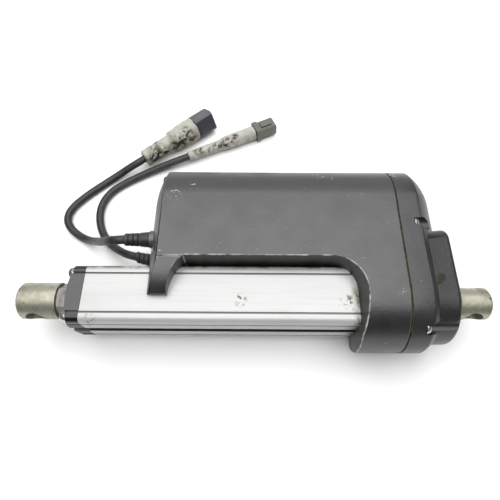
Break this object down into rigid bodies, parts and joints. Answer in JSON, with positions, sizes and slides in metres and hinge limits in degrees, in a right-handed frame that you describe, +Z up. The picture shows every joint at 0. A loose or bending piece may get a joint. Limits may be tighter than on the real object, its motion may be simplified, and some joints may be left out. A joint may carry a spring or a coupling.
{
  "type": "linear actuator",
  "caption": "Parallel-drive electric linear actuator: square profile tube with sliding rod eye, geared motor housing alongside, rear eye and two connector leads.",
  "frame": {"origin": "under the middle of the object without its cables, on the surface it lies on, with the motor housing flat on that surface", "axes": "+X along the stroke axis towards the rear eye, +Y from the tube towards the motor, +Z up"},
  "size_m": [0.3225, 0.2279, 0.0692],
  "materials": {
    "anodised_aluminium": "satin silver anodised extrusion",
    "coated_casting": "fine-textured dark grey powder coat on die-cast aluminium",
    "cover_plastic": "textured dark grey glass-filled nylon",
    "black_plastic": "moulded black nylon",
    "black_rubber": "matte black rubber and cable jacket",
    "plated_steel": "tarnished zinc-plated turned steel",
    "rod_steel": "ground and polished steel",
    "screw_steel": "bright zinc-plated steel",
    "dark_steel": "black-oxide steel",
    "plain_steel": "oiled machined steel",
    "bearing_bronze": "plain bronze",
    "white_polymer": "white acetal",
    "ferrite": "unfinished ferrite",
    "copper": "turned copper segments",
    "carbon": "pressed carbon",
    "board_laminate": "solder-masked laminate",
    "gasket_rubber": "dusty rubber",
    "off_white_sleeve": "grimy off-white moulding",
    "grey_connector": "grey-green moulded nylon"
  },
  "bodies": {
    "housing": {"cap_screw_1": "screw_steel", "cap_screw_2": "screw_steel", "cap_screw_3": "screw_steel", "cap_screw_4": "screw_steel", "control_board": "board_laminate", "front_cover": "cover_plastic", "front_cover_screw_1": "dark_steel", "front_cover_screw_2": "dark_steel", "front_cover_screw_3": "dark_steel", "front_cover_screw_4": "dark_steel", "front_gasket": "gasket_rubber", "guide_bush": "bearing_bronze", "idler_axle": "plain_steel", "motor_bearing": "plain_steel", "motor_brush_1": "carbon", "motor_brush_2": "carbon", "motor_can": "plain_steel", "motor_end_bell": "black_plastic", "motor_housing": "coated_casting", "motor_magnet_1": "ferrite", "motor_magnet_2": "ferrite", "power_backshell": "off_white_sleeve", "power_boot": "black_rubber", "power_cable": "black_rubber", "power_connector": "black_plastic", "profile_tube": "anodised_aluminium", "rear_cover": "cover_plastic", "rear_cover_screw_1": "screw_steel", "rear_cover_screw_2": "screw_steel", "rear_cover_screw_3": "screw_steel", "rear_cover_screw_4": "screw_steel", "rear_eye": "plated_steel", "rear_gasket": "gasket_rubber", "signal_boot": "black_rubber", "signal_cable": "black_rubber", "signal_connector": "grey_connector", "signal_sleeve": "off_white_sleeve", "spindle_bearing": "plain_steel", "tube_end_cap": "black_plastic", "wiper_seal": "black_rubber"},
    "rod": {"piston_rod": "rod_steel", "spindle_nut": "bearing_bronze", "nut_guide_ring": "white_polymer", "rod_lock_nut": "plated_steel", "rod_eye": "plated_steel"},
    "spindle": {"spindle": "plain_steel", "spindle_end_ring": "white_polymer", "spindle_gear": "plain_steel"},
    "idler": {"idler_gear": "plain_steel", "idler_bush": "bearing_bronze"},
    "rotor": {"motor_shaft": "plain_steel", "motor_pinion": "plain_steel", "motor_armature": "plain_steel", "motor_commutator": "copper"}
  },
  "joints": [
    {"name": "spindle_spin", "type": "hinge", "parent": "housing", "child": "spindle", "pos_m": [0, -0.03375, 0.034], "axis": [1, 0, 0], "range_deg": [0, 1800]},
    {"name": "rod_slide", "type": "slide", "parent": "housing", "child": "rod", "axis": [-1, 0, 0], "range_m": [0, 0.1]},
    {"name": "idler_spin", "type": "hinge", "parent": "housing", "child": "idler", "pos_m": [0, 0.0075, 0.034], "axis": [1, 0, 0], "range_deg": [-2160, 0]},
    {"name": "rotor_spin", "type": "hinge", "parent": "housing", "child": "rotor", "pos_m": [0, 0.03375, 0.034], "axis": [1, 0, 0], "range_deg": [0, 5400]}
  ],
  "couplings": [
    {"joint": "rod_slide", "follows": "spindle_spin", "m_per_rad": 0.003183},
    {"joint": "idler_spin", "follows": "spindle_spin", "ratio": -1.2},
    {"joint": "rotor_spin", "follows": "spindle_spin", "ratio": 3}
  ]
}
